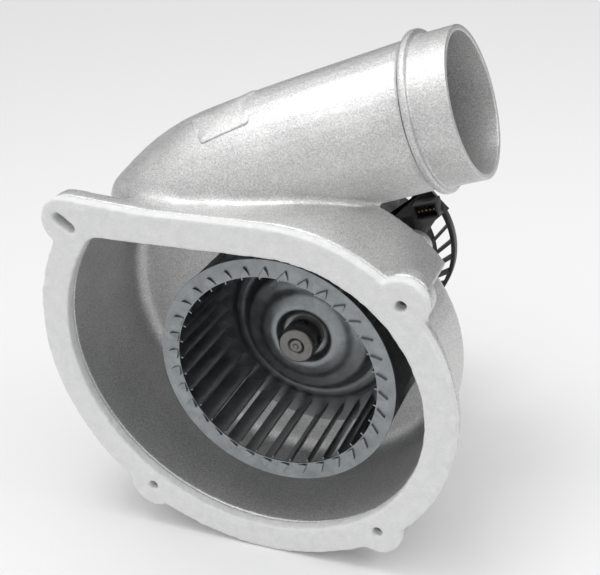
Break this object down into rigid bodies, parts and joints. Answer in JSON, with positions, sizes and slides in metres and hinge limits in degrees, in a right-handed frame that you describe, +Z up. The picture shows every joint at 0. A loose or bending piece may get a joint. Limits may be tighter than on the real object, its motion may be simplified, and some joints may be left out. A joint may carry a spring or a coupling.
{
  "type": "dc blower fan",
  "caption": "Scroll blower with a cast casing, felt-gasketed mounting face, drum impeller, angled round outlet spigot and an external-rotor motor with a cooling wheel.",
  "frame": {"origin": "on the shaft axis in the front face of the felt gasket, the face that is screwed to the appliance", "axes": "+X right along the flange's straight top edge, seen from the open side; +Y back along the shaft towards the motor; +Z up, square to the straight edge"},
  "size_m": [0.2339, 0.188, 0.2771],
  "materials": {
    "cast": "bead-blasted matt",
    "felt": "pressed fibre, matt",
    "fibre": "matt",
    "screws": "zinc plated",
    "bearing_steel": "ground",
    "spring_steel": "satin",
    "iron": "stamped edges",
    "insulator": "matt",
    "copper": "enamelled wire",
    "board": "lacquered",
    "brass": "turned",
    "black_plastic": "moulded, fine texture",
    "shaft_steel": "turned",
    "cup_steel": "drawn and plated",
    "magnet": "ground ferrite",
    "zinc_sheet": "zinc coated sheet"
  },
  "bodies": {
    "housing": {"scroll_housing": "cast", "mounting_ears": "cast", "outlet_duct": "cast", "flange_gasket": "felt", "thermal_washers": "fibre", "motor_carrier": "cast", "carrier_screws": "screws", "bearing_tube": "cast", "tube_screws": "screws", "front_bearing_outer": "bearing_steel", "rear_bearing_outer": "bearing_steel", "preload_spring": "spring_steel", "stator_core": "iron", "stator_insulator": "insulator", "stator_windings": "copper", "circuit_board": "board", "board_spacers": "brass", "board_screws": "screws", "connector_housing": "black_plastic", "connector_pins": "brass"},
    "rotor": {"motor_shaft": "shaft_steel", "rotor_bush": "brass", "rotor_cup": "cup_steel", "rotor_magnets": "magnet", "cooling_wheel": "black_plastic", "shaft_clip": "spring_steel", "impeller_hub": "shaft_steel", "hub_set_screw": "screws", "impeller_back_disc": "zinc_sheet", "impeller_blades": "zinc_sheet", "impeller_front_ring": "zinc_sheet", "front_bearing_inner": "bearing_steel", "rear_bearing_inner": "bearing_steel", "front_bearing_balls": "bearing_steel", "rear_bearing_balls": "bearing_steel"}
  },
  "joints": [
    {"name": "fan_spin", "type": "hinge", "parent": "housing", "child": "rotor", "pos_m": [0, 0.1, 0], "axis": [0, 1, 0], "continuous": true}
  ]
}
